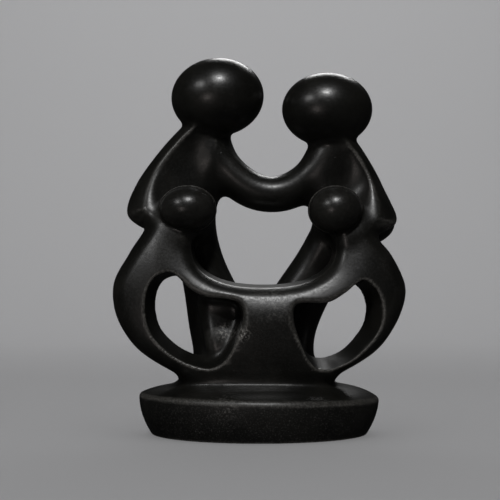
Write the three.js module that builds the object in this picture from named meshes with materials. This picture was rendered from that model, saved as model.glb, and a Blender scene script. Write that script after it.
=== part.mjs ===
// Soapstone family sculpture: two parents with joined arms stand behind two children, whose
// joined arms and looped bodies make the front. Everything is carved from one block with its base.
// Millimetres, +Z up, the children's side faces -Y, the origin is under the middle of the base.

import * as THREE from 'three';
import { SimplifyModifier } from 'three/addons/modifiers/SimplifyModifier.js';

// Oval base: a plate that narrows to its foot, with a domed top that is a little higher on the left
const BASE_WIDTH = 126;
const BASE_DEPTH = 94;
const FOOT_INSET = 6.8;
const FOOT_RADIUS = 0.6;
const RIM_HEIGHT = 20.1;
const RIM_TILT = 1.2;
const RIM_RADIUS = 1.4;
const CROWN_HEIGHT = 26.6;
const CROWN_POWER = 6;

// Stem: the waist between the base and the figures, a rounded oblong in plan
const STEM_HALF_WIDTH = 38.8;
const STEM_HALF_DEPTH = 26;
const STEM_CENTRE = [-1.9, -1];
const STEM_POWER = 3;
const STEM_TOP = 35;
const STEM_RADIUS = 7;
const STEM_FILLET = 6;

// Children: one thick sheet, its face leaning back upwards from the shins and towards the lap
const CHILDREN_FRONT = -30;
const CHILDREN_BACK = [-5.5, 3];
const CHILDREN_BACK_HEIGHTS = [92, 106];
const BULGE_CENTRE_HEIGHT = 50;
const BULGE_UP = 0.0024;
const BULGE_ACROSS = 0.0016;
const LIP_LEAN = 0.0125;
const LIP_REACH = 19;
const LIP_HEIGHTS = [110, 94];
const FACE_SWELL = 1.5;
const FACE_SWELL_WIDTH = 20;
const CHILDREN_RADIUS = 8;
const CHILDREN_OUTLINE = [
  [-60.2, 106.5], [-68.6, 93.5], [-75.4, 80.5], [-75.7, 68.5], [-71.5, 56.6], [-61.8, 44.3], [-45.4, 34.1],
  [-30, 28], [28, 27.5],
  [44, 34.1], [60.2, 44.3], [69.9, 56.6], [75.4, 69.5], [75.6, 79.5], [69.6, 93], [62.2, 102.5],
  [57.5, 114], [50, 119.5], [39, 121], [30, 116.5], [20, 112], [-16, 114],
  [-27, 118.5], [-38, 121.5], [-49, 120], [-55.5, 115.5],
];

// The lap: the round opening above the children's joined arms, narrower at its back edge
const LAP_CENTRE = [2.3, 99.2];
const LAP_HALF_WIDTH = 38.2;
const LAP_HALF_HEIGHT = 23.2;
const LAP_POWER = 2.4;
const LAP_SIDE_DRAFT = 2;
const LAP_FLOOR_DRAFT = 2.4;
const LAP_RADII = [4.5, 0.6];

// How far in front of and behind the children's sheet its openings still widen or narrow
const DEPTH_SHARE_LIMITS = [-0.3, 1.3];

// Holes inside the two loops: the outline at the front, shrunk towards a point at the back
const HOLES = [
  {
    outline: [
      [-47.8, 84.6], [-54, 81.5], [-57.8, 74], [-58.3, 63.5], [-54.8, 52.5], [-45.4, 43], [-34.3, 37.4],
      [-24.4, 35.8], [-16.8, 40.3], [-11.4, 50.4], [-8.1, 61.2], [-10, 68.6], [-17, 70.9], [-27, 72],
      [-35.5, 76], [-40.5, 81], [-44, 84],
    ],
    towards: [-27, 70],
    shrink: [0.86, 0.86],
    softFrom: [-46, -36],
  },
  {
    outline: [
      [54.5, 80.5], [60.5, 75], [63.2, 65.5], [60.6, 53.8], [49.5, 41], [38.8, 35.8], [31.5, 35.3],
      [26, 38.2], [21.5, 46.5], [17.6, 58], [17.6, 66], [22, 68.8], [35, 69], [44, 73.8], [50, 79.2],
    ],
    towards: [20, 72],
    shrink: [0.82, 0.86],
    softFrom: [50, 40],
  },
];
const HOLE_RADIUS = 0.9;
const HOLE_SOFT_RADIUS = 2.9;
const HOLE_SOFT_HEIGHTS = [44, 60];

// Parents: neck, back, outer arm and leg, each in one outline, and the hollow chest in another.
// Above the hips the front of a body turns about a centre line, by its change in depth across.
const PARENT_HALF_DEPTH = 11.5;
const BODY_MIDDLE = 9.5;
const LEG_SHIFT = 3;
const LEG_SHIFT_HEIGHTS = [115, 85];
const FOOT_SHIFT = -4;
const FOOT_SHIFT_HEIGHTS = [75, 35];
const BODY_TURN_HEIGHTS = [95, 115];
const PARENT_SWELL = 1.5;
const PARENT_SWELL_WIDTH = 14;
const PARENT_RADIUS = 10.5;
const PARENTS = [
  {
    turn: 0.2,
    turnCentre: -42,
    outline: [
      [-41, 162], [-52.7, 148.4], [-63.5, 132.4], [-68.7, 118.2], [-64.7, 110.3], [-54, 104], [-45, 92],
      [-41, 78], [-37.8, 57], [-35.2, 42], [-37, 34.5], [-40, 20],
      [-8, 20], [-2, 50], [-6, 67], [-14.1, 81.9], [-19, 92.7], [-22.2, 104], [-23, 116],
      [-20.5, 130], [-16, 144], [-15.5, 154], [-18, 166], [-34, 168],
    ],
    chest: [
      [-33.5, 163], [-40.2, 156.8], [-48, 148.2], [-54, 139.7], [-56, 130.7], [-54.8, 122.5], [-50, 115],
      [-43.5, 108], [-40, 98], [-38, 80], [20, 75], [25, 130], [20, 180], [-18, 185],
    ],
  },
  {
    turn: 0.1,
    turnCentre: 30,
    outline: [
      [52, 155], [60.7, 142], [67, 129.3], [73.4, 114.2], [72.3, 107], [66, 101.5], [56, 97],
      [47, 84], [37.3, 68.4], [31, 54], [29.4, 43], [31.6, 35], [35, 20],
      [6, 20], [-2, 50], [2, 65], [9.2, 78.1], [18.9, 92.2], [25, 102.5], [28.7, 111.1], [28.4, 122],
      [27, 138], [27.6, 150], [32, 160], [44, 162],
    ],
    chest: [
      [45.5, 155], [51.2, 148.4], [56.4, 139.9], [58.7, 130.7], [57, 121.5], [52.5, 114.5],
      [46, 107], [43, 98], [41, 80], [-15, 75], [-20, 130], [-12, 175], [30, 182],
    ],
  },
];

// Outer arms: they come forward from the neck to the children's shoulders, round a hollow chest
const ARM_NECK_FRONT = -8;
const ARM_INSET = 0.8;
const ARM_HEIGHTS = [172, 108];
const ARM_BACK = 12;
const ARM_RADIUS = 13;
const SLEEVE_HEIGHT = 106.4;
const SLEEVE_SLOPE = 0.45;
const SLEEVE_RADIUS = 9;
const CHEST_SLOPE = 0.9;
const CHEST_INSET = 2;
const CHEST_RADII = [0.9, 5];
const CHEST_SOFT_HEIGHTS = [136, 114];
const CHEST_FILLET = 7;

// Joined inner arms of the parents: a hanging parabola of round section
const BRIDGE_LOW_POINT = [7, 127];
const BRIDGE_SAG = 0.0235;
const BRIDGE_HALF_SPAN = 30;
const BRIDGE_MIDDLE = 9.5;
const BRIDGE_RADIUS = 9.7;
const BRIDGE_DEPTH_SCALE = 0.92;

// Heads: plain eggs, centre, half sizes and tilt in degrees
const PARENT_HEADS = [
  { centre: [-22.2, 5, 178.9], half: [24.8, 20, 20.8], tilt: 5 },
  { centre: [36.6, 5, 172.2], half: [24.2, 19.5, 19.7], tilt: 0 },
];
const CHILD_HEADS = [
  { centre: [-37.1, -16, 117.3], half: [14, 12, 11.3], tilt: 0 },
  { centre: [39.7, -16, 116.8], half: [13.3, 12, 11.7], tilt: 0 },
];

// Collars: the flat stone behind each child's head, a little wider than the head
const COLLARS = [
  { centre: [-37.1, 117.7], half: [14.9, 12.1] },
  { centre: [39.7, 117.2], half: [14.2, 12.5] },
];
const COLLAR_MIDDLE = -9.5;
const COLLAR_HALF_DEPTH = 3.5;
const COLLAR_RADIUS = 0.6;

// Calf: the left parent's leg swells forwards behind the left loop. Its outer edge leans with
// the leg, and its top, foot, inner end and back lie in the stone round it.
const CALF_FRONT = [-10, -14.5];
const CALF_HEIGHTS = [66, 46];
const CALF_MIDDLE = -19;
const CALF_ROUND = 0.01;
const CALF_EDGE = -20.3;
const CALF_LEAN = 0.17;
const CALF_RADIUS = 6;
const CALF_SPAN = [30, 75];
const CALF_INNER = -2;
const CALF_BACK = 2;

// How softly neighbours flow into each other
const PARENT_FILLET = 3;
const BRIDGE_FILLET = 8;
const NECK_FILLET = 3.5;
const BODY_FILLET = 5;
const CHILD_HEAD_FILLET = 2;
const COLLAR_FILLET = 1;
const CALF_FILLET = 8;

const STONE_COLOUR = 0x1a1815;
const STONE_ROUGHNESS = 0.38;

// Facets
const CURVE_STEPS = 8;
const CELL = 1.4;
const BOUNDS = new THREE.Box3(new THREE.Vector3(-80, -52, -2.5), new THREE.Vector3(80, 52, 203));
const FINE_VERTICES = 30000;
const FACET_VERTICES = 4600;
const SETTLE_STEPS = 3;
const NUDGE = 0.05;
const STEEPNESS_FLOOR = 0.25;
const SLOPE_FLOOR = 0.001;
const GROUND_TOLERANCE = 0.05;

function smoothstep(from, to, value) {
  const t = THREE.MathUtils.clamp((value - from) / (to - from), 0, 1);
  return t * t * (3 - 2 * t);
}

// Union of two solids, with a fillet of about the given width
function join(a, b, fillet) {
  const h = Math.max(fillet - Math.abs(a - b), 0) / fillet;
  return Math.min(a, b) - (h * h * fillet) / 4;
}

// What two solids share, with the edge rounded to the given radius
function meet(a, b, radius) {
  const corner = Math.hypot(Math.max(a + radius, 0), Math.max(b + radius, 0));
  return Math.min(Math.max(a, b), -radius) + corner;
}

// 0 on an outline, rising to 1 at the given distance inside it
function swell(distance, width) {
  const t = THREE.MathUtils.clamp(-distance / width, 0, 1);
  return 1 - (1 - t) ** 2;
}

// Distance to an ellipse or ellipsoid, exact at its surface
function roundDistance(offsets, halves) {
  const near = Math.hypot(...offsets.map((value, i) => value / halves[i]));
  const slope = Math.hypot(...offsets.map((value, i) => value / halves[i] ** 2));
  return (near * (near - 1)) / Math.max(slope, Number.EPSILON);
}

// A closed outline in the front view, with its signed distance
class Outline {
  constructor(points) {
    const corners = points.map(([x, z]) => new THREE.Vector3(x, 0, z));
    const curve = new THREE.CatmullRomCurve3(corners, true, 'catmullrom');
    this.points = curve.getPoints(points.length * CURVE_STEPS);
  }

  distance(x, z) {
    let nearest = Infinity;
    let inside = false;
    for (let i = 1; i < this.points.length; i += 1) {
      const a = this.points[i - 1];
      const b = this.points[i];
      const runX = b.x - a.x;
      const runZ = b.z - a.z;
      const along = ((x - a.x) * runX + (z - a.z) * runZ) / (runX * runX + runZ * runZ);
      const t = Math.min(Math.max(along, 0), 1);
      const gapX = x - a.x - t * runX;
      const gapZ = z - a.z - t * runZ;
      nearest = Math.min(nearest, gapX * gapX + gapZ * gapZ);
      if (a.z > z !== b.z > z && x < a.x + ((z - a.z) * runX) / runZ) {
        inside = !inside;
      }
    }
    return Math.sqrt(nearest) * (inside ? -1 : 1);
  }
}

const childrenOutline = new Outline(CHILDREN_OUTLINE);
const holes = HOLES.map((hole) => ({ ...hole, outline: new Outline(hole.outline) }));
const parents = PARENTS.map((parent) => ({
  ...parent,
  outline: new Outline(parent.outline),
  chest: new Outline(parent.chest),
}));

// Distance to the lap's wall, where the share is 0 at the children's face and 1 at their back
function lap(x, z, share) {
  const across = Math.abs(x - LAP_CENTRE[0]);
  const up = Math.abs(z - LAP_CENTRE[1]);
  const width = LAP_HALF_WIDTH - LAP_SIDE_DRAFT * share;
  const height = LAP_HALF_HEIGHT - LAP_FLOOR_DRAFT * share;
  const outwards = ((across / width) ** LAP_POWER + (up / height) ** LAP_POWER) ** (1 / LAP_POWER);
  const round = Math.max(Math.hypot(across / width, up / height), SLOPE_FLOOR);
  const slope = Math.hypot(across / width ** 2, up / height ** 2) / round;
  return (outwards - 1) / Math.max(slope, SLOPE_FLOOR);
}

// How deep the rounded front lies that the children and the parents' hands share
function front(x, z) {
  return CHILDREN_FRONT + BULGE_UP * (z - BULGE_CENTRE_HEIGHT) ** 2 + BULGE_ACROSS * x ** 2;
}

// How deep the children's face lies
function childrenFace(x, z, outline) {
  const fromLap = THREE.MathUtils.clamp(lap(x, z, 0), 0, LIP_REACH);
  const lip = LIP_LEAN * (LIP_REACH - fromLap) ** 2 * smoothstep(...LIP_HEIGHTS, z);
  return front(x, z) + lip + FACE_SWELL * (1 - swell(outline, FACE_SWELL_WIDTH));
}

// Everything about one line through the block, from front to back, that doesn't change along it
function lineThrough(x, z) {
  const fromChildren = childrenOutline.distance(x, z);
  return {
    x,
    z,
    children: fromChildren,
    face: childrenFace(x, z, fromChildren),
    holes: holes.map(({ outline, towards, shrink }) => {
      const backX = towards[0] + (x - towards[0]) / shrink[0];
      const backZ = towards[1] + (z - towards[1]) / shrink[1];
      return [outline.distance(x, z), (outline.distance(backX, backZ) * (shrink[0] + shrink[1])) / 2];
    }),
    parents: parents.map(({ outline, chest }) => [outline.distance(x, z), chest.distance(x, z)]),
  };
}

function base({ x, z }, y) {
  const inset = FOOT_INSET * THREE.MathUtils.clamp(1 - z / RIM_HEIGHT, 0, 1) ** 2;
  const halfWidth = BASE_WIDTH / 2 - inset;
  const side = roundDistance([x, y], [halfWidth, (halfWidth * BASE_DEPTH) / BASE_WIDTH]);
  const rim = RIM_HEIGHT - (RIM_TILT * x) / (BASE_WIDTH / 2);
  const outwards = Math.hypot(x / (BASE_WIDTH / 2), y / (BASE_DEPTH / 2));
  const top = rim + (CROWN_HEIGHT - rim) * (1 - outwards ** CROWN_POWER);
  return meet(meet(side, z - top, RIM_RADIUS), -z, FOOT_RADIUS);
}

function stem({ x, z }, y) {
  const across = Math.abs(x - STEM_CENTRE[0]) / STEM_HALF_WIDTH;
  const deep = Math.abs(y - STEM_CENTRE[1]) / STEM_HALF_DEPTH;
  const outwards = (across ** STEM_POWER + deep ** STEM_POWER) ** (1 / STEM_POWER);
  return meet((outwards - 1) * STEM_HALF_DEPTH, z - STEM_TOP, STEM_RADIUS);
}

function children(line, y) {
  const { face } = line;
  const back = THREE.MathUtils.lerp(...CHILDREN_BACK, smoothstep(...CHILDREN_BACK_HEIGHTS, line.z));
  const share = THREE.MathUtils.clamp((y - face) / (back - face), ...DEPTH_SHARE_LIMITS);
  const lapRadius = THREE.MathUtils.lerp(...LAP_RADII, THREE.MathUtils.clamp(share, 0, 1));
  let solid = meet(line.children, Math.max(face - y, y - back), CHILDREN_RADIUS);
  solid = meet(solid, -lap(line.x, line.z, share), lapRadius);
  line.holes.forEach(([frontWall, backWall], i) => {
    const wall = frontWall + (backWall - frontWall) * share;
    const soft = smoothstep(...HOLE_SOFT_HEIGHTS, line.z) * smoothstep(...holes[i].softFrom, line.x);
    solid = meet(solid, -wall, THREE.MathUtils.lerp(HOLE_RADIUS, HOLE_SOFT_RADIUS, soft));
  });
  return solid;
}

function parent(line, y, index) {
  const [outline, chest] = line.parents[index];
  const { turn, turnCentre } = parents[index];
  const turned = turn * (line.x - turnCentre) * smoothstep(...BODY_TURN_HEIGHTS, line.z);
  const legShift = LEG_SHIFT * smoothstep(...LEG_SHIFT_HEIGHTS, line.z);
  const footShift = FOOT_SHIFT * smoothstep(...FOOT_SHIFT_HEIGHTS, line.z);
  const middle = BODY_MIDDLE + legShift + footShift;
  const halfDepth = PARENT_HALF_DEPTH - PARENT_SWELL * (1 - swell(outline, PARENT_SWELL_WIDTH));
  const body = meet(outline, Math.abs(y - middle - turned / 2) - halfDepth + turned / 2, PARENT_RADIUS);
  const handFront = front(line.x, line.z) + ARM_INSET;
  const armFront = THREE.MathUtils.lerp(ARM_NECK_FRONT, handFront, smoothstep(...ARM_HEIGHTS, line.z));
  let arm = meet(outline, Math.max(armFront - y, y - ARM_BACK), ARM_RADIUS);
  const sleeve = (SLEEVE_HEIGHT + SLEEVE_SLOPE * y - line.z) / Math.hypot(1, SLEEVE_SLOPE);
  arm = meet(arm, sleeve, SLEEVE_RADIUS);
  const rim = THREE.MathUtils.lerp(...CHEST_RADII, smoothstep(...CHEST_SOFT_HEIGHTS, line.z));
  const chestWall = (chest + CHEST_SLOPE * (y - armFront - CHEST_INSET)) / Math.hypot(1, CHEST_SLOPE);
  arm = meet(arm, -chestWall, rim);
  return join(body, arm, CHEST_FILLET);
}

function bridge({ x, z }, y) {
  const reach = THREE.MathUtils.clamp(x - BRIDGE_LOW_POINT[0], -BRIDGE_HALF_SPAN, BRIDGE_HALF_SPAN);
  const slope = 2 * BRIDGE_SAG * reach;
  const up = (z - BRIDGE_LOW_POINT[1] - BRIDGE_SAG * reach ** 2) / Math.hypot(1, slope);
  const beyond = x - BRIDGE_LOW_POINT[0] - reach;
  return Math.hypot(up, (y - BRIDGE_MIDDLE) * BRIDGE_DEPTH_SCALE, beyond) - BRIDGE_RADIUS;
}

function head({ x, z }, y, { centre, half, tilt }) {
  const turn = THREE.MathUtils.degToRad(tilt);
  const across = x - centre[0];
  const up = z - centre[2];
  const turnedAcross = across * Math.cos(turn) + up * Math.sin(turn);
  const turnedUp = up * Math.cos(turn) - across * Math.sin(turn);
  return roundDistance([turnedAcross, y - centre[1], turnedUp], half);
}

function collar({ x, z }, y, { centre, half }) {
  const outline = roundDistance([x - centre[0], z - centre[1]], half);
  return meet(outline, Math.abs(y - COLLAR_MIDDLE) - COLLAR_HALF_DEPTH, COLLAR_RADIUS);
}

function calf({ x, z }, y) {
  const depth = THREE.MathUtils.lerp(...CALF_FRONT, smoothstep(...CALF_HEIGHTS, z));
  const face = depth + CALF_ROUND * (x - CALF_MIDDLE) ** 2;
  const edge = (CALF_EDGE - CALF_LEAN * z - x) / Math.hypot(1, CALF_LEAN);
  const [bottom, top] = CALF_SPAN;
  const ends = meet(z - top, x - CALF_INNER, CALF_RADIUS);
  const hidden = meet(ends, Math.max(bottom - z, y - CALF_BACK), CALF_RADIUS);
  return meet(meet(edge, face - y, CALF_RADIUS), hidden, CALF_RADIUS);
}

// Below zero inside the stone, above zero outside it
function stone(line, y) {
  let back = join(parent(line, y, 0), parent(line, y, 1), PARENT_FILLET);
  back = join(back, calf(line, y), CALF_FILLET);
  back = join(back, bridge(line, y), BRIDGE_FILLET);
  for (const egg of PARENT_HEADS) {
    back = join(back, head(line, y, egg), NECK_FILLET);
  }
  let solid = join(back, children(line, y), BODY_FILLET);
  solid = join(solid, join(stem(line, y), base(line, y), STEM_FILLET), BODY_FILLET);
  for (const [i, egg] of CHILD_HEADS.entries()) {
    solid = join(solid, collar(line, y, COLLARS[i]), COLLAR_FILLET);
    solid = join(solid, head(line, y, egg), CHILD_HEAD_FILLET);
  }
  return meet(solid, -line.z, FOOT_RADIUS);
}

// The block as a lattice of cells, with the value of the stone at each corner
function sampleBlock() {
  const size = BOUNDS.getSize(new THREE.Vector3());
  const counts = size.toArray().map((length) => Math.ceil(length / CELL) + 1);
  const values = new Float32Array(counts[0] * counts[1] * counts[2]);
  for (let i = 0; i < counts[0]; i += 1) {
    for (let k = 0; k < counts[2]; k += 1) {
      const line = lineThrough(BOUNDS.min.x + i * CELL, BOUNDS.min.z + k * CELL);
      for (let j = 0; j < counts[1]; j += 1) {
        values[(i * counts[1] + j) * counts[2] + k] = stone(line, BOUNDS.min.y + j * CELL);
      }
    }
  }
  return { counts, values };
}

// The six tetrahedra of a cell run from its first corner to its last, one axis at a time.
// Corners are numbered by their offsets: 1 along X, 2 along Y and 4 along Z.
const TETRAHEDRA = [
  [0, 1, 3, 7], [0, 2, 6, 7], [0, 4, 5, 7],
  [0, 3, 2, 7], [0, 6, 4, 7], [0, 5, 1, 7],
];

// For each set of corners inside the stone, as bits: those corners, then the others, turning alike
const ARRANGEMENTS = new Map([
  [1, [0, 1, 2, 3]], [2, [1, 0, 3, 2]], [4, [2, 3, 0, 1]], [8, [3, 2, 1, 0]],
  [3, [0, 1, 2, 3]], [5, [0, 2, 3, 1]], [9, [0, 3, 1, 2]],
  [6, [1, 2, 0, 3]], [10, [1, 3, 2, 0]], [12, [2, 3, 0, 1]],
  [14, [0, 1, 2, 3]], [13, [1, 0, 3, 2]], [11, [2, 3, 0, 1]], [7, [3, 2, 1, 0]],
]);

// The edges that the surface crosses, as pairs of places in an arrangement, for 1, 2 or 3 inside
const CROSSINGS = [
  null,
  [[[0, 1], [0, 2], [0, 3]]],
  [[[0, 2], [0, 3], [1, 3]], [[0, 2], [1, 3], [1, 2]]],
  [[[0, 1], [0, 3], [0, 2]]],
];

// The surface as a fine net of triangles, with a shared point on each edge that it crosses
function netSurface({ counts, values }) {
  const steps = [counts[1] * counts[2], counts[2], 1];
  const offsets = Array.from({ length: 8 }, (_, bits) => (
    (bits & 1 ? steps[0] : 0) + (bits & 2 ? steps[1] : 0) + (bits & 4 ? steps[2] : 0)
  ));
  const place = (index) => new THREE.Vector3(
    Math.floor(index / steps[0]),
    Math.floor(index / steps[1]) % counts[1],
    index % counts[2],
  );
  const numbers = new Map();
  const points = [];
  const pointBetween = (a, b) => {
    const key = Math.min(a, b) * values.length + Math.max(a, b);
    if (!numbers.has(key)) {
      const share = values[a] / (values[a] - values[b]);
      numbers.set(key, points.length);
      points.push(place(a).lerp(place(b), share).multiplyScalar(CELL).add(BOUNDS.min));
    }
    return numbers.get(key);
  };
  const triangles = [];
  const netCell = (first) => {
    for (const corners of TETRAHEDRA) {
      const indices = corners.map((corner) => first + offsets[corner]);
      const inside = indices.reduce((bits, index, i) => bits + (values[index] < 0 ? 1 << i : 0), 0);
      const order = ARRANGEMENTS.get(inside);
      if (order) {
        const insideCount = indices.filter((index) => values[index] < 0).length;
        for (const triangle of CROSSINGS[insideCount]) {
          triangles.push(...triangle.map(([a, b]) => pointBetween(indices[order[a]], indices[order[b]])));
        }
      }
    }
  };
  for (let i = 0; i < counts[0] - 1; i += 1) {
    for (let j = 0; j < counts[1] - 1; j += 1) {
      for (let k = 0; k < counts[2] - 1; k += 1) {
        const first = i * steps[0] + j * steps[1] + k;
        const inside = values[first] < 0;
        if (offsets.some((offset) => values[first + offset] < 0 !== inside)) {
          netCell(first);
        }
      }
    }
  }
  const net = new THREE.BufferGeometry().setFromPoints(points);
  net.setIndex(triangles);
  return net;
}

// Move a point onto the surface along the steepest way
function settle(point) {
  for (let i = 0; i < SETTLE_STEPS; i += 1) {
    const line = lineThrough(point.x, point.z);
    const value = stone(line, point.y);
    const slope = new THREE.Vector3(
      stone(lineThrough(point.x + NUDGE, point.z), point.y) - value,
      stone(line, point.y + NUDGE) - value,
      stone(lineThrough(point.x, point.z + NUDGE), point.y) - value,
    ).divideScalar(NUDGE);
    point.addScaledVector(slope, -value / Math.max(slope.lengthSq(), STEEPNESS_FLOOR));
  }
  if (Math.abs(point.z) < GROUND_TOLERANCE) {
    point.z = 0;
  }
  return point;
}

async function carve() {
  let facets = netSurface(sampleBlock());
  for (const kept of [FINE_VERTICES, FACET_VERTICES]) {
    facets.computeVertexNormals();
    const spare = facets.getAttribute('position').count - kept;
    facets = await new SimplifyModifier().modify(facets, spare);
  }
  const positions = facets.getAttribute('position');
  const point = new THREE.Vector3();
  for (let i = 0; i < positions.count; i += 1) {
    settle(point.fromBufferAttribute(positions, i));
    positions.setXYZ(i, point.x, point.y, point.z);
  }
  facets.computeVertexNormals();
  return facets;
}

const soapstone = new THREE.MeshStandardMaterial({ color: STONE_COLOUR, roughness: STONE_ROUGHNESS });
const family = new THREE.Mesh(await carve(), soapstone);
family.name = 'family_sculpture';

const group = new THREE.Group();
group.add(family);

export default group;
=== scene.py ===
"""Soapstone family sculpture: the visible stone, its material, the stage, the light and the camera.

The stone is one field, negative inside it, in millimetres: closed outlines in the front view are
combined with depths, drafts, fillets and edge radii. The field is netted finely. Each point of the
net carries how sharp and how rough the stone is there, how much its scuffs and painted sheen lighten it, and
whether it is on the base's side.
"""

import math

import bpy
import numpy as np
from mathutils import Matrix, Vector


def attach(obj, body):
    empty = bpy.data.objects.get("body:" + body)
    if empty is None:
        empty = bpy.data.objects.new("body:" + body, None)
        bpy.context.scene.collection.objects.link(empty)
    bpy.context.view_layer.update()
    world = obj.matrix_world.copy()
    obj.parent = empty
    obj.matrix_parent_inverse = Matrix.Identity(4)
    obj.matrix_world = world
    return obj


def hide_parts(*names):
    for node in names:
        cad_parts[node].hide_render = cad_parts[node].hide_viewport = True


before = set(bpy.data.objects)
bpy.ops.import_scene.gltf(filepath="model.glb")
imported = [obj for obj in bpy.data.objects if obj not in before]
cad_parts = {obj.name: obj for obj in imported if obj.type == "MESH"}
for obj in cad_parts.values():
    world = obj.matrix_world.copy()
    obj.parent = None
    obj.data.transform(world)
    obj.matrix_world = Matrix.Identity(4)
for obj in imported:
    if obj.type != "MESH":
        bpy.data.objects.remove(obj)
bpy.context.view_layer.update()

MM = 0.001

# Camera: it looks along +Y, a little upwards, from the height of the children's laps
EYE = (-4.8, -583, 75.4)
EYE_PITCH_DEG = 2.08
LENS_MM = 79.25
SENSOR_MM = 36

# Oval base: a plate that narrows to its foot, with a domed top that is a little higher on the left
BASE_WIDTH = 126
BASE_DEPTH = 94
FOOT_INSET = 6.8
FOOT_RADIUS = 0.6
RIM_HEIGHT = 20.1
RIM_TILT = 1.2
RIM_RADIUS = 1.4
CROWN_HEIGHT = 26.6
CROWN_POWER = 6

# Stem: the waist between the base and the figures, a rounded oblong in plan
STEM_HALF_WIDTH = 38.8
STEM_HALF_DEPTH = 26
STEM_CENTRE = (-1.9, -1)
STEM_POWER = 3
STEM_TOP = 35
STEM_RADIUS = 7
STEM_FILLET = 6

# Children: one thick sheet, its face leaning back upwards from the shins and towards the lap
CHILDREN_FRONT = -30
CHILDREN_BACK = (-5.5, 3)
CHILDREN_BACK_HEIGHTS = (92, 106)
BULGE_CENTRE_HEIGHT = 50
BULGE_UP = 0.0024
BULGE_ACROSS = 0.0016
LIP_LEAN = 0.0125
LIP_REACH = 19
LIP_HEIGHTS = (110, 94)
FACE_SWELL = 1.5
FACE_SWELL_WIDTH = 20
CHILDREN_RADIUS = 8
CHILDREN_OUTLINE = (
    (-60.2, 106.5), (-68.6, 93.5), (-75.4, 80.5), (-75.7, 68.5), (-71.5, 56.6), (-61.8, 44.3), (-45.4, 34.1),
    (-30, 28), (28, 27.5),
    (44, 34.1), (60.2, 44.3), (69.9, 56.6), (75.4, 69.5), (75.6, 79.5), (69.6, 93), (62.2, 102.5),
    (57.5, 114), (50, 119.5), (39, 121), (30, 116.5), (20, 112), (-16, 114),
    (-27, 118.5), (-38, 121.5), (-49, 120), (-55.5, 115.5),
)

# The lap: the round opening above the children's joined arms, narrower at its back edge
LAP_CENTRE = (2.3, 99.2)
LAP_HALF_WIDTH = 38.2
LAP_HALF_HEIGHT = 23.2
LAP_POWER = 2.4
LAP_SIDE_DRAFT = 2
LAP_FLOOR_DRAFT = 2.4
LAP_RADII = (4.5, 0.6)

# How far in front of and behind the children's sheet its openings still widen or narrow
DEPTH_SHARE_LIMITS = (-0.3, 1.3)

# Holes inside the two loops: the outline at the front, shrunk towards a point at the back
HOLES = (
    {
        "outline": (
            (-47.8, 84.6), (-54, 81.5), (-57.8, 74), (-58.3, 63.5), (-54.8, 52.5), (-45.4, 43), (-34.3, 37.4),
            (-24.4, 35.8), (-16.8, 40.3), (-11.4, 50.4), (-8.1, 61.2), (-10, 68.6), (-17, 70.9), (-27, 72),
            (-35.5, 76), (-40.5, 81), (-44, 84),
        ),
        "towards": (-27, 70),
        "shrink": (0.86, 0.86),
        "soft_from": (-46, -36),
    },
    {
        "outline": (
            (54.5, 80.5), (60.5, 75), (63.2, 65.5), (60.6, 53.8), (49.5, 41), (38.8, 35.8), (31.5, 35.3),
            (26, 38.2), (21.5, 46.5), (17.6, 58), (17.6, 66), (22, 68.8), (35, 69), (44, 73.8), (50, 79.2),
        ),
        "towards": (20, 72),
        "shrink": (0.82, 0.86),
        "soft_from": (50, 40),
    },
)
HOLE_RADIUS = 0.9
HOLE_SOFT_RADIUS = 2.9
HOLE_SOFT_HEIGHTS = (44, 60)

# Parents: neck, back, outer arm and leg, each in one outline, and the hollow chest in another.
# Above the hips the front of a body turns about a centre line, by its change in depth across.
PARENT_HALF_DEPTH = 11.5
BODY_MIDDLE = 9.5
LEG_SHIFT = 3
LEG_SHIFT_HEIGHTS = (115, 85)
FOOT_SHIFT = -4
FOOT_SHIFT_HEIGHTS = (75, 35)
BODY_TURN_HEIGHTS = (95, 115)
PARENT_SWELL = 1.5
PARENT_SWELL_WIDTH = 14
PARENT_RADIUS = 10.5
PARENTS = (
    {
        "turn": 0.2,
        "turn_centre": -42,
        "outline": (
            (-41, 162), (-52.7, 148.4), (-63.5, 132.4), (-68.7, 118.2), (-64.7, 110.3), (-54, 104), (-45, 92),
            (-41, 78), (-37.8, 57), (-35.2, 42), (-37, 34.5), (-40, 20),
            (-8, 20), (-2, 50), (-6, 67), (-14.1, 81.9), (-19, 92.7), (-22.2, 104), (-23, 116),
            (-20.5, 130), (-16, 144), (-15.5, 154), (-18, 166), (-34, 168),
        ),
        "chest": (
            (-33.5, 163), (-40.2, 156.8), (-48, 148.2), (-54, 139.7), (-56, 130.7), (-54.8, 122.5),
            (-50, 115), (-43.5, 108), (-40, 98), (-38, 80), (20, 75), (25, 130), (20, 180), (-18, 185),
        ),
    },
    {
        "turn": 0.1,
        "turn_centre": 30,
        "outline": (
            (52, 155), (60.7, 142), (67, 129.3), (73.4, 114.2), (72.3, 107), (66, 101.5), (56, 97),
            (47, 84), (37.3, 68.4), (31, 54), (29.4, 43), (31.6, 35), (35, 20),
            (6, 20), (-2, 50), (2, 65), (9.2, 78.1), (18.9, 92.2), (25, 102.5), (28.7, 111.1), (28.4, 122),
            (27, 138), (27.6, 150), (32, 160), (44, 162),
        ),
        "chest": (
            (45.5, 155), (51.2, 148.4), (56.4, 139.9), (58.7, 130.7), (57, 121.5), (52.5, 114.5),
            (46, 107), (43, 98), (41, 80), (-15, 75), (-20, 130), (-12, 175), (30, 182),
        ),
    },
)

# Outer arms: they come forward from the neck to the children's shoulders, round a hollow chest
ARM_NECK_FRONT = -8
ARM_INSET = 0.8
ARM_HEIGHTS = (172, 108)
ARM_BACK = 12
ARM_RADIUS = 13
SLEEVE_HEIGHT = 106.4
SLEEVE_SLOPE = 0.45
SLEEVE_RADIUS = 9
CHEST_SLOPE = 0.9
CHEST_INSET = 2
CHEST_RADII = (0.9, 5)
CHEST_SOFT_HEIGHTS = (136, 114)
CHEST_FILLET = 7

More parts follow.
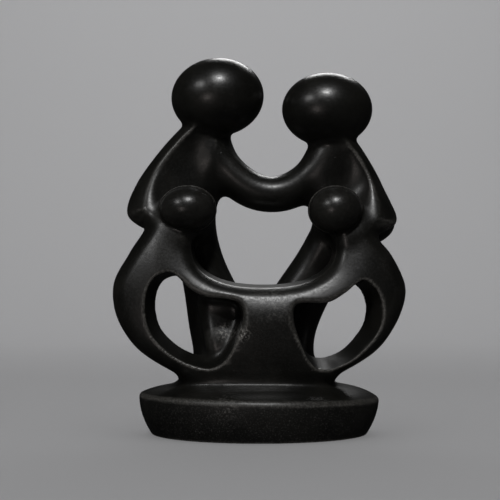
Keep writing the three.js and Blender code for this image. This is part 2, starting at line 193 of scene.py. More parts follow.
# Joined inner arms of the parents: a hanging parabola of round section
BRIDGE_LOW_POINT = (7, 127)
BRIDGE_SAG = 0.0235
BRIDGE_HALF_SPAN = 30
BRIDGE_MIDDLE = 9.5
BRIDGE_RADIUS = 9.7
BRIDGE_DEPTH_SCALE = 0.92

# Heads: plain eggs, centre, half sizes and tilt in degrees
PARENT_HEADS = (
    ((-22.2, 5, 178.9), (24.8, 20, 20.8), 5),
    ((36.6, 5, 172.2), (24.2, 19.5, 19.7), 0),
)
CHILD_HEADS = (
    ((-37.1, -16, 117.3), (14, 12, 11.3), 0),
    ((39.7, -16, 116.8), (13.3, 12, 11.7), 0),
)

# Collars: the flat stone behind each child's head, a little wider than the head
COLLARS = (
    ((-37.1, 117.7), (14.9, 12.1)),
    ((39.7, 117.2), (14.2, 12.5)),
)
COLLAR_MIDDLE = -9.5
COLLAR_HALF_DEPTH = 3.5
COLLAR_RADIUS = 0.6

# Calf: the left parent's leg swells forwards behind the left loop. Its outer edge leans with the leg,
# and its top, foot, inner end and back lie in the stone round it.
CALF_FRONT = (-10, -14.5)
CALF_HEIGHTS = (66, 46)
CALF_MIDDLE = -19
CALF_ROUND = 0.01
CALF_EDGE = -20.3
CALF_LEAN = 0.17
CALF_RADIUS = 6
CALF_SPAN = (30, 75)
CALF_INNER = -2
CALF_BACK = 2

# How softly neighbours flow into each other
PARENT_FILLET = 3
BRIDGE_FILLET = 8
NECK_FILLET = 3.5
BODY_FILLET = 5
CHILD_HEAD_FILLET = 2
COLLAR_FILLET = 1
CALF_FILLET = 8

# Net: the block round the stone, how finely its outlines are tabled, and the size of its cells
BLOCK_LOW = np.array([-80, -52.3, -2.5])
BLOCK_HIGH = np.array([80, 52, 203])
CURVE_STEPS = 32
TABLE_STEP = 0.5
TABLE_MARGIN = 2
CHUNK = 4096
CELL = 0.95
CORNER_GAP = 0.1
TRIANGLES = 190000

# Settling: how far apart the field is read for its slope, and the least slopes that are divided by
SETTLE_STEPS = 2
NUDGE = 0.05
STEEPNESS_FLOOR = 0.25
SLOPE_FLOOR = 0.001


def smoothstep(start, end, value):
    """0 at the start, 1 at the end and beyond it, smooth between them."""
    t = np.clip((value - start) / (end - start), 0, 1)
    return t * t * (3 - 2 * t)


def lerp(start, end, share):
    """The start at share 0, the end at share 1, and a mix between them."""
    return start + (end - start) * share


def join(a, b, fillet):
    """Union of two solids, with a fillet of about the given width."""
    h = np.maximum(fillet - np.abs(a - b), 0) / fillet
    return np.minimum(a, b) - h * h * fillet / 4


def meet(a, b, radius):
    """What two solids share, with the edge rounded to the given radius."""
    corner = np.hypot(np.maximum(a + radius, 0), np.maximum(b + radius, 0))
    return np.minimum(np.maximum(a, b), -radius) + corner


def swell(distance, width):
    """0 on an outline, rising to 1 at the given distance inside it."""
    t = np.clip(-distance / width, 0, 1)
    return 1 - (1 - t) ** 2


def round_distance(offsets, halves):
    """Distance to an ellipse or ellipsoid, exact at its surface."""
    near = np.sqrt(sum((value / half) ** 2 for value, half in zip(offsets, halves)))
    slope = np.sqrt(sum((value / half ** 2) ** 2 for value, half in zip(offsets, halves)))
    return near * (near - 1) / np.maximum(slope, np.finfo(np.float32).eps)


class Outline:
    """A closed curve through corners in the front view, with the signed distance to it."""

    def __init__(self, corners):
        here = np.array(corners, float)
        before, after, beyond = (np.roll(here, shift, 0) for shift in (1, -1, -2))
        first = after - before
        second = 2 * before - 5 * here + 4 * after - beyond
        third = 3 * here - before - 3 * after + beyond
        t = np.linspace(0, 1, CURVE_STEPS, endpoint=False)[:, None, None]
        points = here + (first * t + second * t ** 2 + third * t ** 3) / 2
        along = (first + 2 * second * t + 3 * third * t ** 2) / 2
        points = points.swapaxes(0, 1).reshape(-1, 2)
        along = along.swapaxes(0, 1).reshape(-1, 2)
        following = np.roll(points, -1, 0)
        area = np.sum(points[:, 0] * following[:, 1] - points[:, 1] * following[:, 0])
        across = np.stack([along[:, 1], -along[:, 0]], 1) * np.sign(area)
        self.points = points.astype(np.float32)
        self.normals = (across / np.linalg.norm(across, axis=1)[:, None]).astype(np.float32)

    def distance(self, x, z):
        """Distance to the curve, negative inside it, along the normal at its nearest point."""
        places = np.stack([x, z], -1).reshape(-1, 2).astype(np.float32)
        half_squares = (self.points ** 2).sum(1) / 2
        result = np.empty(len(places), np.float32)
        for start in range(0, len(places), CHUNK):
            part = places[start:start + CHUNK]
            nearest = np.argmin(half_squares - part @ self.points.T, axis=1)
            gap = part - self.points[nearest]
            result[start:start + CHUNK] = (gap * self.normals[nearest]).sum(1)
        return result.reshape(x.shape)


def make_table():
    """The distances to all outlines on a fine grid in the front view, one layer for each."""
    x = np.arange(BLOCK_LOW[0] - TABLE_MARGIN, BLOCK_HIGH[0] + TABLE_MARGIN, TABLE_STEP)
    z = np.arange(BLOCK_LOW[2] - TABLE_MARGIN, BLOCK_HIGH[2] + TABLE_MARGIN, TABLE_STEP)
    x, z = np.meshgrid(x, z, indexing="ij")
    layers = [Outline(CHILDREN_OUTLINE).distance(x, z)]
    for hole in HOLES:
        outline = Outline(hole["outline"])
        to_x, to_z = hole["towards"]
        shrink_x, shrink_z = hole["shrink"]
        back = outline.distance(to_x + (x - to_x) / shrink_x, to_z + (z - to_z) / shrink_z)
        layers += [outline.distance(x, z), back * (shrink_x + shrink_z) / 2]
    for parent in PARENTS:
        layers += [Outline(parent["outline"]).distance(x, z), Outline(parent["chest"]).distance(x, z)]
    return np.stack(layers, -1)


TABLE = make_table()


def cubic_weights(t):
    """The weights of four neighbours in a row, for a place at share t between the middle two."""
    return (
        (-t + 2 * t ** 2 - t ** 3) / 2,
        (2 - 5 * t ** 2 + 3 * t ** 3) / 2,
        (t + 4 * t ** 2 - 3 * t ** 3) / 2,
        (t ** 3 - t ** 2) / 2,
    )


def lines_through(x, z):
    """The table's layers at any places, smooth between its grid lines."""
    column = (x - BLOCK_LOW[0] + TABLE_MARGIN) / TABLE_STEP
    row = (z - BLOCK_LOW[2] + TABLE_MARGIN) / TABLE_STEP
    i = np.clip(np.floor(column).astype(int), 1, TABLE.shape[0] - 3)
    k = np.clip(np.floor(row).astype(int), 1, TABLE.shape[1] - 3)
    total = 0
    for a, across in enumerate(cubic_weights((column - i).astype(np.float32))):
        for b, up in enumerate(cubic_weights((row - k).astype(np.float32))):
            total = total + (across * up)[..., None] * TABLE[i + a - 1, k + b - 1]
    return [total[..., layer] for layer in range(TABLE.shape[2])]


def rim_height(x):
    return RIM_HEIGHT - RIM_TILT * x / (BASE_WIDTH / 2)


def base(x, y, z):
    inset = FOOT_INSET * np.clip(1 - z / RIM_HEIGHT, 0, 1) ** 2
    half_width = BASE_WIDTH / 2 - inset
    side = round_distance([x, y], [half_width, half_width * BASE_DEPTH / BASE_WIDTH])
    rim = rim_height(x)
    outwards = np.hypot(x / (BASE_WIDTH / 2), y / (BASE_DEPTH / 2))
    top = rim + (CROWN_HEIGHT - rim) * (1 - outwards ** CROWN_POWER)
    return meet(meet(side, z - top, RIM_RADIUS), -z, FOOT_RADIUS)


def stem(x, y, z):
    across = np.abs(x - STEM_CENTRE[0]) / STEM_HALF_WIDTH
    deep = np.abs(y - STEM_CENTRE[1]) / STEM_HALF_DEPTH
    outwards = (across ** STEM_POWER + deep ** STEM_POWER) ** (1 / STEM_POWER)
    return meet((outwards - 1) * STEM_HALF_DEPTH, z - STEM_TOP, STEM_RADIUS)


def lap(x, z, share):
    """Distance to the lap's wall, where the share is 0 at the children's face and 1 at their back."""
    across = np.abs(x - LAP_CENTRE[0])
    up = np.abs(z - LAP_CENTRE[1])
    width = LAP_HALF_WIDTH - LAP_SIDE_DRAFT * share
    height = LAP_HALF_HEIGHT - LAP_FLOOR_DRAFT * share
    outwards = ((across / width) ** LAP_POWER + (up / height) ** LAP_POWER) ** (1 / LAP_POWER)
    middle = np.maximum(np.hypot(across / width, up / height), SLOPE_FLOOR)
    slope = np.hypot(across / width ** 2, up / height ** 2) / middle
    return (outwards - 1) / np.maximum(slope, SLOPE_FLOOR)


def front(x, z):
    """How deep the rounded front lies that the children and the parents' hands share."""
    return CHILDREN_FRONT + BULGE_UP * (z - BULGE_CENTRE_HEIGHT) ** 2 + BULGE_ACROSS * x ** 2


def children_face(x, z, outline):
    """How deep the children's face lies."""
    from_lap = np.clip(lap(x, z, 0), 0, LIP_REACH)
    lip = LIP_LEAN * (LIP_REACH - from_lap) ** 2 * smoothstep(*LIP_HEIGHTS, z)
    return front(x, z) + lip + FACE_SWELL * (1 - swell(outline, FACE_SWELL_WIDTH))


def children(x, y, z, outline, holes):
    """The children's sheet, from its outline and the walls of its holes at its front and back."""
    face = children_face(x, z, outline)
    back = lerp(*CHILDREN_BACK, smoothstep(*CHILDREN_BACK_HEIGHTS, z))
    share = np.clip((y - face) / (back - face), *DEPTH_SHARE_LIMITS)
    lap_radius = lerp(*LAP_RADII, np.clip(share, 0, 1))
    solid = meet(outline, np.maximum(face - y, y - back), CHILDREN_RADIUS)
    solid = meet(solid, -lap(x, z, share), lap_radius)
    for hole, front_wall, back_wall in zip(HOLES, holes[0::2], holes[1::2]):
        wall = lerp(front_wall, back_wall, share)
        soft = smoothstep(*HOLE_SOFT_HEIGHTS, z) * smoothstep(*hole["soft_from"], x)
        solid = meet(solid, -wall, lerp(HOLE_RADIUS, HOLE_SOFT_RADIUS, soft))
    return solid


def parent(x, y, z, form, outline, chest):
    """A parent's body and outer arm, without the head and the inner arm."""
    turned = form["turn"] * (x - form["turn_centre"]) * smoothstep(*BODY_TURN_HEIGHTS, z)
    leg_shift = LEG_SHIFT * smoothstep(*LEG_SHIFT_HEIGHTS, z)
    foot_shift = FOOT_SHIFT * smoothstep(*FOOT_SHIFT_HEIGHTS, z)
    middle = BODY_MIDDLE + leg_shift + foot_shift
    half_depth = PARENT_HALF_DEPTH - PARENT_SWELL * (1 - swell(outline, PARENT_SWELL_WIDTH))
    body = meet(outline, np.abs(y - middle - turned / 2) - half_depth + turned / 2, PARENT_RADIUS)
    hand_front = front(x, z) + ARM_INSET
    arm_front = lerp(ARM_NECK_FRONT, hand_front, smoothstep(*ARM_HEIGHTS, z))
    arm = meet(outline, np.maximum(arm_front - y, y - ARM_BACK), ARM_RADIUS)
    sleeve = (SLEEVE_HEIGHT + SLEEVE_SLOPE * y - z) / math.hypot(1, SLEEVE_SLOPE)
    arm = meet(arm, sleeve, SLEEVE_RADIUS)
    rim = lerp(*CHEST_RADII, smoothstep(*CHEST_SOFT_HEIGHTS, z))
    chest_wall = (chest + CHEST_SLOPE * (y - arm_front - CHEST_INSET)) / math.hypot(1, CHEST_SLOPE)
    arm = meet(arm, -chest_wall, rim)
    return join(body, arm, CHEST_FILLET)


def bridge(x, y, z):
    reach = np.clip(x - BRIDGE_LOW_POINT[0], -BRIDGE_HALF_SPAN, BRIDGE_HALF_SPAN)
    slope = 2 * BRIDGE_SAG * reach
    up = (z - BRIDGE_LOW_POINT[1] - BRIDGE_SAG * reach ** 2) / np.hypot(1, slope)
    beyond = x - BRIDGE_LOW_POINT[0] - reach
    deep = (y - BRIDGE_MIDDLE) * BRIDGE_DEPTH_SCALE
    return np.sqrt(up ** 2 + deep ** 2 + beyond ** 2) - BRIDGE_RADIUS


def head(x, y, z, centre, half, tilt):
    turn = math.radians(tilt)
    across = x - centre[0]
    up = z - centre[2]
    turned_across = across * math.cos(turn) + up * math.sin(turn)
    turned_up = up * math.cos(turn) - across * math.sin(turn)
    return round_distance([turned_across, y - centre[1], turned_up], half)


def collar(x, y, z, centre, half):
    outline = round_distance([x - centre[0], z - centre[1]], half)
    return meet(outline, np.abs(y - COLLAR_MIDDLE) - COLLAR_HALF_DEPTH, COLLAR_RADIUS)


def calf(x, y, z):
    face = lerp(*CALF_FRONT, smoothstep(*CALF_HEIGHTS, z)) + CALF_ROUND * (x - CALF_MIDDLE) ** 2
    edge = (CALF_EDGE - CALF_LEAN * z - x) / math.hypot(1, CALF_LEAN)
    bottom, top = CALF_SPAN
    ends = meet(z - top, x - CALF_INNER, CALF_RADIUS)
    hidden = meet(ends, np.maximum(bottom - z, y - CALF_BACK), CALF_RADIUS)
    return meet(meet(edge, face - y, CALF_RADIUS), hidden, CALF_RADIUS)


def stone(x, y, z, lines):
    """Below zero inside the stone, above zero outside it."""
    outline, *others = lines
    holes, left_lines, right_lines = others[:4], others[4:6], others[6:]
    left = parent(x, y, z, PARENTS[0], *left_lines)
    right = parent(x, y, z, PARENTS[1], *right_lines)
    back = join(left, right, PARENT_FILLET)
    back = join(back, calf(x, y, z), CALF_FILLET)
    back = join(back, bridge(x, y, z), BRIDGE_FILLET)
    for egg in PARENT_HEADS:
        back = join(back, head(x, y, z, *egg), NECK_FILLET)
    solid = join(back, children(x, y, z, outline, holes), BODY_FILLET)
    solid = join(solid, join(stem(x, y, z), base(x, y, z), STEM_FILLET), BODY_FILLET)
    for egg, disc in zip(CHILD_HEADS, COLLARS):
        solid = join(solid, collar(x, y, z, *disc), COLLAR_FILLET)
        solid = join(solid, head(x, y, z, *egg), CHILD_HEAD_FILLET)
    return meet(solid, -z, FOOT_RADIUS)


def stone_at(points):
    x, y, z = points.T
    return stone(x, y, z, lines_through(x, z))


def slopes_at(points, values):
    """The field's slope at points where its values are known."""
    x, y, z = points.T
    lines = lines_through(x, z)
    return np.stack([
        stone(x + NUDGE, y, z, lines_through(x + NUDGE, z)) - values,
        stone(x, y + NUDGE, z, lines) - values,
        stone(x, y, z + NUDGE, lines_through(x, z + NUDGE)) - values,
    ], 1) / NUDGE


def settle(points):
    """Move points onto the surface along the steepest way."""
    for _ in range(SETTLE_STEPS):
        values = stone_at(points)
        slopes = slopes_at(points, values)
        steepness = np.maximum((slopes ** 2).sum(1), STEEPNESS_FLOOR)
        points = points - slopes * (values / steepness)[:, None]
    return points


# The six tetrahedra of a cell run from its first corner to its last, one axis at a time.
# Corners are numbered by their offsets: 1 along X, 2 along Y and 4 along Z.
TETRAHEDRA = (
    (0, 1, 3, 7), (0, 2, 6, 7), (0, 4, 5, 7),
    (0, 3, 2, 7), (0, 6, 4, 7), (0, 5, 1, 7),
)

# For each set of corners inside the stone, as bits: those corners, then the others, turning alike
ARRANGEMENTS = {
    1: (0, 1, 2, 3), 2: (1, 0, 3, 2), 4: (2, 3, 0, 1), 8: (3, 2, 1, 0),
    3: (0, 1, 2, 3), 5: (0, 2, 3, 1), 9: (0, 3, 1, 2),
    6: (1, 2, 0, 3), 10: (1, 3, 2, 0), 12: (2, 3, 0, 1),
    14: (0, 1, 2, 3), 13: (1, 0, 3, 2), 11: (2, 3, 0, 1), 7: (3, 2, 1, 0),
}

# The edges that the surface crosses, as pairs of places in an arrangement, for 1, 2 or 3 inside
CROSSINGS = {
    1: (((0, 1), (0, 2), (0, 3)),),
    2: (((0, 2), (0, 3), (1, 3)), ((0, 2), (1, 3), (1, 2))),
    3: (((0, 1), (0, 3), (0, 2)),),
}


def sample_block():
    """The stone's value at each corner of a lattice of cells, which the surface keeps clear of."""
    axes = [np.arange(low, high, CELL) for low, high in zip(BLOCK_LOW, BLOCK_HIGH)]
    x, z = np.meshgrid(axes[0], axes[2], indexing="ij")
    lines = [line[:, None, :].astype(np.float32) for line in lines_through(x, z)]
    x, y, z = (
        axis.astype(np.float32).reshape(shape)
        for axis, shape in zip(axes, ((-1, 1, 1), (1, -1, 1), (1, 1, -1)))
    )
    values = stone(x, y, z, lines)
    return np.where(np.abs(values) < CORNER_GAP, CORNER_GAP, values)


def net_surface(values):
    """Points and triangles of the surface, with a shared point on each edge that it crosses."""
    steps = (values.shape[1] * values.shape[2], values.shape[2], 1)
    inside = values < 0
    cells = np.zeros([count - 1 for count in values.shape], int)
    offsets = []
    for corner in range(8):
        ends = [corner >> axis & 1 for axis in range(3)]
        cells += inside[tuple(slice(end, end + count) for end, count in zip(ends, cells.shape))]
        offsets.append(sum(end * step for end, step in zip(ends, steps)))
    crossed = np.argwhere((cells > 0) & (cells < 8)) @ np.array(steps)
    flat = values.ravel()
    ends = []
    for corners in TETRAHEDRA:
        indices = crossed[:, None] + np.array([offsets[corner] for corner in corners])
        bits = ((flat[indices] < 0) * (1, 2, 4, 8)).sum(1)
        for pattern, order in ARRANGEMENTS.items():
            chosen = indices[bits == pattern][:, order]
            for triangle in CROSSINGS[bin(pattern).count("1")]:
                ends.append(chosen[:, triangle])
    ends = np.sort(np.concatenate(ends).reshape(-1, 2), axis=1)
    keys, triangles = np.unique(ends[:, 0] * flat.size + ends[:, 1], return_inverse=True)
    a, b = keys // flat.size, keys % flat.size
    share = (flat[a] / (flat[a] - flat[b]))[:, None]
    places = [np.stack(np.unravel_index(corner, values.shape), 1) for corner in (a, b)]
    points = BLOCK_LOW + CELL * lerp(places[0], places[1], share)
    return points, triangles.reshape(-1, 3)


def fill_mesh(mesh, points, triangles):
    mesh.vertices.add(len(points))
    mesh.loops.add(triangles.size)
    mesh.polygons.add(len(triangles))
    mesh.vertices.foreach_set("co", (points * MM).astype(np.float32).ravel())
    mesh.loops.foreach_set("vertex_index", triangles.astype(np.int32).ravel())
    mesh.polygons.foreach_set("loop_start", np.arange(0, triangles.size, 3, dtype=np.int32))
    mesh.update(calc_edges=True)
    mesh.validate()


def mesh_points(mesh):
    flat = np.empty(len(mesh.vertices) * 3, np.float32)
    mesh.vertices.foreach_get("co", flat)
    return flat.reshape(-1, 3).astype(float) / MM


def thin_out(piece):
    """Merge the flat parts' small triangles until about TRIANGLES are left."""
    modifier = piece.modifiers.new("thin_out", "DECIMATE")
    modifier.ratio = min(1, TRIANGLES / len(piece.data.polygons))
    evaluated = piece.evaluated_get(bpy.context.evaluated_depsgraph_get())
    thinned = bpy.data.meshes.new_from_object(evaluated)
    piece.modifiers.clear()
    piece.data = thinned


# Sharpness: how sharp the stone is round a point, from the field a little to each side of it. The sides
# are found from the Z axis, or from the X axis where the normal's own share of Z is too large.
# The material lightens sharp edges, partly as wear and partly as a painted highlight along them.
SHARPNESS_REACH = 0.9
SHARPNESS_FLAT = 0.05
SHARPNESS_FULL = 0.5
Z_SHARE_LIMIT = 0.7


def store(mesh, name, values):
    attribute = mesh.attributes.new(name, "FLOAT", "POINT")
    attribute.data.foreach_set("value", values.astype(np.float32))


def sharpness(points, normals):
    """0 on plain and hollow stone, 1 on sharp edges, from four places round each point."""
    helper = np.where(np.abs(normals[:, 2:]) < Z_SHARE_LIMIT, [[0, 0, 1]], [[1, 0, 0]])
    across = np.cross(normals, helper)
    across /= np.linalg.norm(across, axis=1)[:, None]
    along = np.cross(normals, across)
    rise = sum(
        stone_at(points + SHARPNESS_REACH * way)
        for way in (across, -across, along, -along)
    )
    return smoothstep(SHARPNESS_FLAT, SHARPNESS_FULL, rise / SHARPNESS_REACH)


# Roughness: the heads took the best polish, and it ends a little outside their eggs
HEAD_ROUGHNESS = 0.33
BODY_ROUGHNESS = 0.36
EGG_REACH = 2


def roughness(points):
    """How rough the stone is, by how near it is to an egg's surface."""
    x, y, z = points.T
    nearest = np.min([head(x, y, z, *egg) for egg in PARENT_HEADS + CHILD_HEADS], axis=0)
    return lerp(BODY_ROUGHNESS, HEAD_ROUGHNESS, smoothstep(EGG_REACH, 0, nearest))


# Scuffed places on the front, partly real scuffs and partly a painted sheen on the left leg and the pillar:
# middle in the front view, how far each spreads, and how strong it is
SCUFFS_AND_SHEENS = (
    ((-18.5, 54), 3.5, 1),
    ((-9, 53.5), 3, 1),
    ((-16, 19), 6, 0.2),
    ((7, 70), 9, 0.2),
)


def scuffs_and_sheens(points, normals):
    """How much scuffs and painted sheen lighten the stone, 0 for not at all."""
    x, _, z = points.T
    spots = [
        strength * np.exp(-((x - middle[0]) ** 2 + (z - middle[1]) ** 2) / reach ** 2)
        for middle, reach, strength in SCUFFS_AND_SHEENS
    ]
    return np.max(spots, axis=0) * (normals[:, 1] < 0)


# The base's side: it fades in from a little above the rim to a little below it
SIDE_FADE = (0.5, -1)


def base_side(points):
    """1 on the base's side below its rim, which was left less polished, 0 elsewhere."""
    x, _, z = points.T
    return smoothstep(*SIDE_FADE, z - rim_height(x))


def store_looks(mesh, points):
    """Store what the material reads at each point of the stone."""
    slopes = slopes_at(points, stone_at(points))
    normals = slopes / np.linalg.norm(slopes, axis=1)[:, None]
    store(mesh, "sharp", sharpness(points, normals))
    store(mesh, "rough", roughness(points))
    store(mesh, "scuff_and_sheen_mask", scuffs_and_sheens(points, normals))
    store(mesh, "side", base_side(points))


def carve():
    """The whole stone as one piece: netted, thinned out and settled, with its underside flat."""
    mesh = bpy.data.meshes.new("family_carving")
    piece = bpy.data.objects.new("family_carving", mesh)
    bpy.context.scene.collection.objects.link(piece)
    points, triangles = net_surface(sample_block())
    fill_mesh(mesh, points, triangles)
    thin_out(piece)
    mesh = piece.data
    points = settle(mesh_points(mesh))
    points[np.abs(points[:, 2]) < NUDGE, 2] = 0
    mesh.vertices.foreach_set("co", (points * MM).astype(np.float32).ravel())
    mesh.shade_smooth()
    store_looks(mesh, points)
    mesh.update()
    return piece


class Nodes:
    """Adds nodes to a material and links them."""

    def __init__(self, name):
        self.material = bpy.data.materials.new(name)
        self.material.use_nodes = True
        self.tree = self.material.node_tree
        self.shader = self.tree.nodes["Principled BSDF"]

    def add(self, kind, settings=(), inputs=()):
        node = self.tree.nodes.new(kind)
        for key, value in dict(settings).items():
            setattr(node, key, value)
        for key, value in dict(inputs).items():
            self.put(node.inputs[key], value)
        return node

    def put(self, socket, value):
        """Link a node's or socket's output to a socket, or set its constant."""
        if isinstance(value, bpy.types.Node):
            value = value.outputs[0]
        if isinstance(value, bpy.types.NodeSocket):
            self.tree.links.new(value, socket)
        else:
            socket.default_value = value

    def attribute(self, name):
        return self.add("ShaderNodeAttribute", {"attribute_name": name}).outputs["Fac"]

    def noise(self, scale, detail, roughness=0.5):
        """Noise in the piece's own metres, from 0 to 1 and mostly near its middle."""
        place = self.add("ShaderNodeTexCoord").outputs["Object"]
        inputs = {"Vector": place, "Scale": scale, "Detail": detail, "Roughness": roughness}
        return self.add("ShaderNodeTexNoise", inputs=inputs).outputs["Fac"]

    def spread(self, value, low, high, to_low=0, to_high=1):
        """Stretch a value from one range to another, smoothly."""
        inputs = {0: value, 1: low, 2: high, 3: to_low, 4: to_high}
        return self.add("ShaderNodeMapRange", {"interpolation_type": "SMOOTHSTEP"}, inputs)

    def times(self, a, b):
        return self.add("ShaderNodeMath", {"operation": "MULTIPLY"}, {0: a, 1: b})

    def plus(self, a, b):
        return self.add("ShaderNodeMath", {"operation": "ADD"}, {0: a, 1: b})

    def blend(self, share, a, b):
        """A value between two values."""
        return self.add("ShaderNodeMix", {"data_type": "FLOAT"}, {0: share, 2: a, 3: b})

    def mix(self, share, a, b):
        """A colour between two colours."""
        node = self.add("ShaderNodeMix", {"data_type": "RGBA"})
        self.put(node.inputs[0], share)
        self.put(node.inputs[6], a)
        self.put(node.inputs[7], b)
        return node.outputs[2]

    def bump(self, strength, distance, height, **inputs):
        """A normal that is tilted by a height, which counts the given distance in metres."""
        inputs = {"Strength": strength, "Distance": distance, "Height": height, **inputs}
        return self.add("ShaderNodeBump", inputs=inputs)


# Soapstone: its colours, linear
DEEP = (0.004, 0.004, 0.0033, 1)
CLOUD = (0.0095, 0.0092, 0.0078, 1)
# Lighter sharp edges: partly wear, partly a painted highlight along the edges
EDGE_WEAR_AND_HIGHLIGHT = (0.1, 0.096, 0.088, 1)
SPECK = (0.06, 0.058, 0.053, 1)
# Scuff colour: partly real scuffs and partly a painted sheen
SCUFF_AND_SHEEN_COLOUR = (0.3, 0.29, 0.27, 1)

# Soapstone: each pattern's noise, as scale, detail and roughness, and the range where it fades in
CLOUD_NOISE = (55, 5)
CLOUD_RANGE = (0.35, 0.7)
GRAIN_NOISE = (900, 4, 0.7)
GRAIN_RANGE = (0.3, 0.75)
SPECK_NOISE = (1500, 2, 0.6)
SPECK_RANGE = (0.54, 0.74)
SCRATCH_NOISE = (700, 3, 0.6)
SCRATCH_RANGE = (0.48, 0.66)
UNEVEN_NOISE = (110, 2)

# Soapstone: how strongly specks show on polished stone and on the base's side, and how the lighter
# sharp edges, partly wear and partly a painted highlight, show between grains and on them
SPECKS_SHOWN = (0.1, 0.75)
WEAR_AND_HIGHLIGHT_SHOWN = (0.25, 0.9)

# Soapstone: the base side's roughness, how much the grain changes the polish, and both bumps'
# strength and distance in metres
MATT = 0.5
GRAIN_POLISH = (-0.05, 0.05)
UNEVEN_BUMP = (0.25, 0.0003)
GRAIN_BUMP = (0.12, 0.0001)


def soapstone():
    """Near-black waxed stone: cloudy, with fine grain, lighter sharp edges that are partly wear and partly a
    painted highlight, scuffs with a painted sheen, and a less polished base side.
    """
    nodes = Nodes("soapstone")
    cloud = nodes.spread(nodes.noise(*CLOUD_NOISE), *CLOUD_RANGE)
    grain = nodes.spread(nodes.noise(*GRAIN_NOISE), *GRAIN_RANGE)
    speck = nodes.spread(nodes.noise(*SPECK_NOISE), *SPECK_RANGE)
    side = nodes.attribute("side")
    colour = nodes.mix(cloud, DEEP, CLOUD)
    specks = nodes.times(speck, nodes.spread(side, 0, 1, *SPECKS_SHOWN))
    colour = nodes.mix(specks, colour, SPECK)
    # Sharp edges lightened: partly wear, partly a painted highlight along them
    wear_and_highlight = nodes.times(nodes.attribute("sharp"), nodes.spread(grain, 0, 1, *WEAR_AND_HIGHLIGHT_SHOWN))
    # Scuffs with scratches, which also paint a sheen on the left leg and the pillar
    scratches = nodes.spread(nodes.noise(*SCRATCH_NOISE), *SCRATCH_RANGE)
    scuff_and_sheen = nodes.times(nodes.attribute("scuff_and_sheen_mask"), scratches)
    colour = nodes.mix(scuff_and_sheen, nodes.mix(wear_and_highlight, colour, EDGE_WEAR_AND_HIGHLIGHT), SCUFF_AND_SHEEN_COLOUR)
    nodes.put(nodes.shader.inputs["Base Color"], colour)
    rough = nodes.blend(side, nodes.attribute("rough"), MATT)
    uneven_polish = nodes.spread(grain, 0, 1, *GRAIN_POLISH)
    nodes.put(nodes.shader.inputs["Roughness"], nodes.plus(rough, uneven_polish))
    uneven = nodes.bump(*UNEVEN_BUMP, nodes.noise(*UNEVEN_NOISE))
    fine = nodes.bump(*GRAIN_BUMP, grain, Normal=uneven)
    nodes.put(nodes.shader.inputs["Normal"], fine)
    return nodes.material


# Stage: a pale floor that rises behind the stone in one curve, in metres
FLOOR_FRONT = -2.5
FLOOR_BACK = 0.9
FLOOR_HALF_WIDTH = 3.0
SWEEP_RADIUS = 0.8
WALL_TOP = 3.0
SWEEP_STEPS = 24
STAGE_COLOUR = (0.6, 0.6, 0.61, 1)
STAGE_ROUGHNESS = 0.95


def stage():
    """The floor and the wall behind it, as one sheet that isn't part of the object."""
    profile = [(FLOOR_FRONT, 0)]
    for step in range(SWEEP_STEPS + 1):
        turn = math.pi / 2 * step / SWEEP_STEPS
        away = FLOOR_BACK + SWEEP_RADIUS * math.sin(turn)
        profile.append((away, SWEEP_RADIUS * (1 - math.cos(turn))))
    profile.append((FLOOR_BACK + SWEEP_RADIUS, WALL_TOP))
    points = [(side * FLOOR_HALF_WIDTH, y, z) for y, z in profile for side in (-1, 1)]
    faces = [(2 * i, 2 * i + 1, 2 * i + 3, 2 * i + 2) for i in range(len(profile) - 1)]
    mesh = bpy.data.meshes.new("stage")
    mesh.from_pydata(points, [], faces)
    mesh.shade_smooth()
    piece = bpy.data.objects.new("stage", mesh)
    bpy.context.scene.collection.objects.link(piece)
    nodes = Nodes("stage_paper")
    nodes.put(nodes.shader.inputs["Base Color"], STAGE_COLOUR)
    nodes.put(nodes.shader.inputs["Roughness"], STAGE_ROUGHNESS)
    mesh.materials.append(nodes.material)
    piece.visible_glossy = False
    return piece


def camera():
    data = bpy.data.cameras.new("camera")
    data.lens = LENS_MM
    data.sensor_width = SENSOR_MM
    eye = bpy.data.objects.new("camera", data)
    eye.location = Vector(EYE) * MM
    eye.rotation_euler = (math.radians(90 + EYE_PITCH_DEG), 0, 0)
    bpy.context.scene.collection.objects.link(eye)
    bpy.context.scene.camera = eye


def group(name, piece):
    """A collection of one piece, for the lamps that light it."""
    collection = bpy.data.collections.new(name)
    collection.objects.link(piece)
    return collection


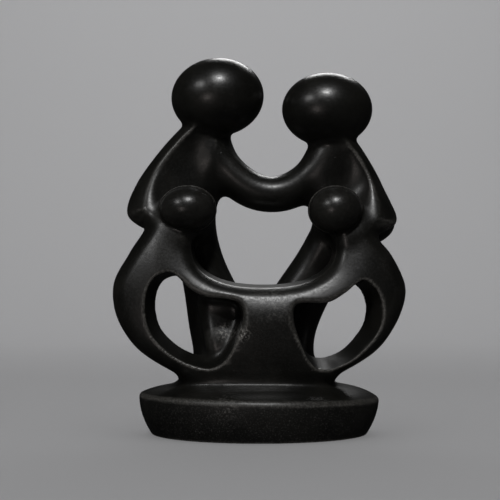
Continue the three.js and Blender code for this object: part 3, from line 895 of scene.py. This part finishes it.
# Lamps: how far away each is and in which direction from the figures' middle, in metres.
# A lamp that passes the stone casts no shadow of it.
FIGURES_MIDDLE = (0, 0, 0.12)
WHITE = (1, 1, 1)
STONE_LAMPS = (
    {"name": "key", "direction": (0.01, -0.66, 0.755), "distance": 1.1, "size": (0.08, 0.08), "watts": 5.2},
    {"name": "left", "direction": (-0.556, -0.64, 0.53), "distance": 1.1, "size": (0.08, 0.08), "watts": 1.4},
    {
        "name": "left_low", "direction": (-0.357, -0.931, -0.07), "distance": 1.1, "size": (0.06, 0.06),
        "watts": 0.5, "colour": (1, 0.9, 0.86),
    },
    {"name": "behind", "direction": (0.13, 0.73, 0.67), "distance": 1.1, "size": (0.5, 0.2), "watts": 2.8},
)
STAGE_LAMPS = (
    {"name": "room", "direction": (0, -0.2, 1), "distance": 2.6, "size": (2.4, 2.4), "watts": 8},
    {
        "name": "room_fill", "direction": (0, -0.2, 1), "distance": 2.6, "size": (2.4, 2.4),
        "watts": 26.5, "passes_stone": True,
    },
    {
        "name": "wall", "direction": (0, 0.52, 0.85), "distance": 1.6, "size": (2.4, 0.4),
        "watts": 9, "aim": (0, 1.7, 1.2), "passes_stone": True,
    },
)
AIR_COLOUR = (0.5, 0.5, 0.5, 1)
AIR_STRENGTH = 0.02


def softbox(
    lit, name, direction, distance, size, watts,
    colour=WHITE, aim=FIGURES_MIDDLE, passes_stone=False,
):
    """A light that far away in a direction, turned towards a point, for the pieces in one group."""
    data = bpy.data.lights.new(name, "AREA")
    data.shape = "RECTANGLE"
    data.size, data.size_y = size
    data.energy = watts
    data.color = colour
    lamp = bpy.data.objects.new(name, data)
    lamp.location = Vector(FIGURES_MIDDLE) + Vector(direction).normalized() * distance
    lamp.rotation_euler = (Vector(aim) - lamp.location).to_track_quat("-Z", "Y").to_euler()
    lamp.light_linking.receiver_collection = lit
    if passes_stone:
        lamp.light_linking.blocker_collection = lit
    bpy.context.scene.collection.objects.link(lamp)


def light(stone_only, stage_only):
    for lamp in STONE_LAMPS:
        softbox(stone_only, **lamp)
    for lamp in STAGE_LAMPS:
        softbox(stage_only, **lamp)


def air():
    """Faint light from all sides."""
    world = bpy.data.worlds.new("room_air")
    world.use_nodes = True
    background = world.node_tree.nodes["Background"]
    background.inputs["Color"].default_value = AIR_COLOUR
    background.inputs["Strength"].default_value = AIR_STRENGTH
    bpy.context.scene.world = world


bpy.context.scene.view_settings.view_transform = "Standard"
camera()
backdrop = stage()
carving = carve()
light(group("stone", carving), group("stage", backdrop))
air()
carving.data.materials.clear()
carving.data.materials.append(soapstone())
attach(carving, "root")
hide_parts("family_sculpture")
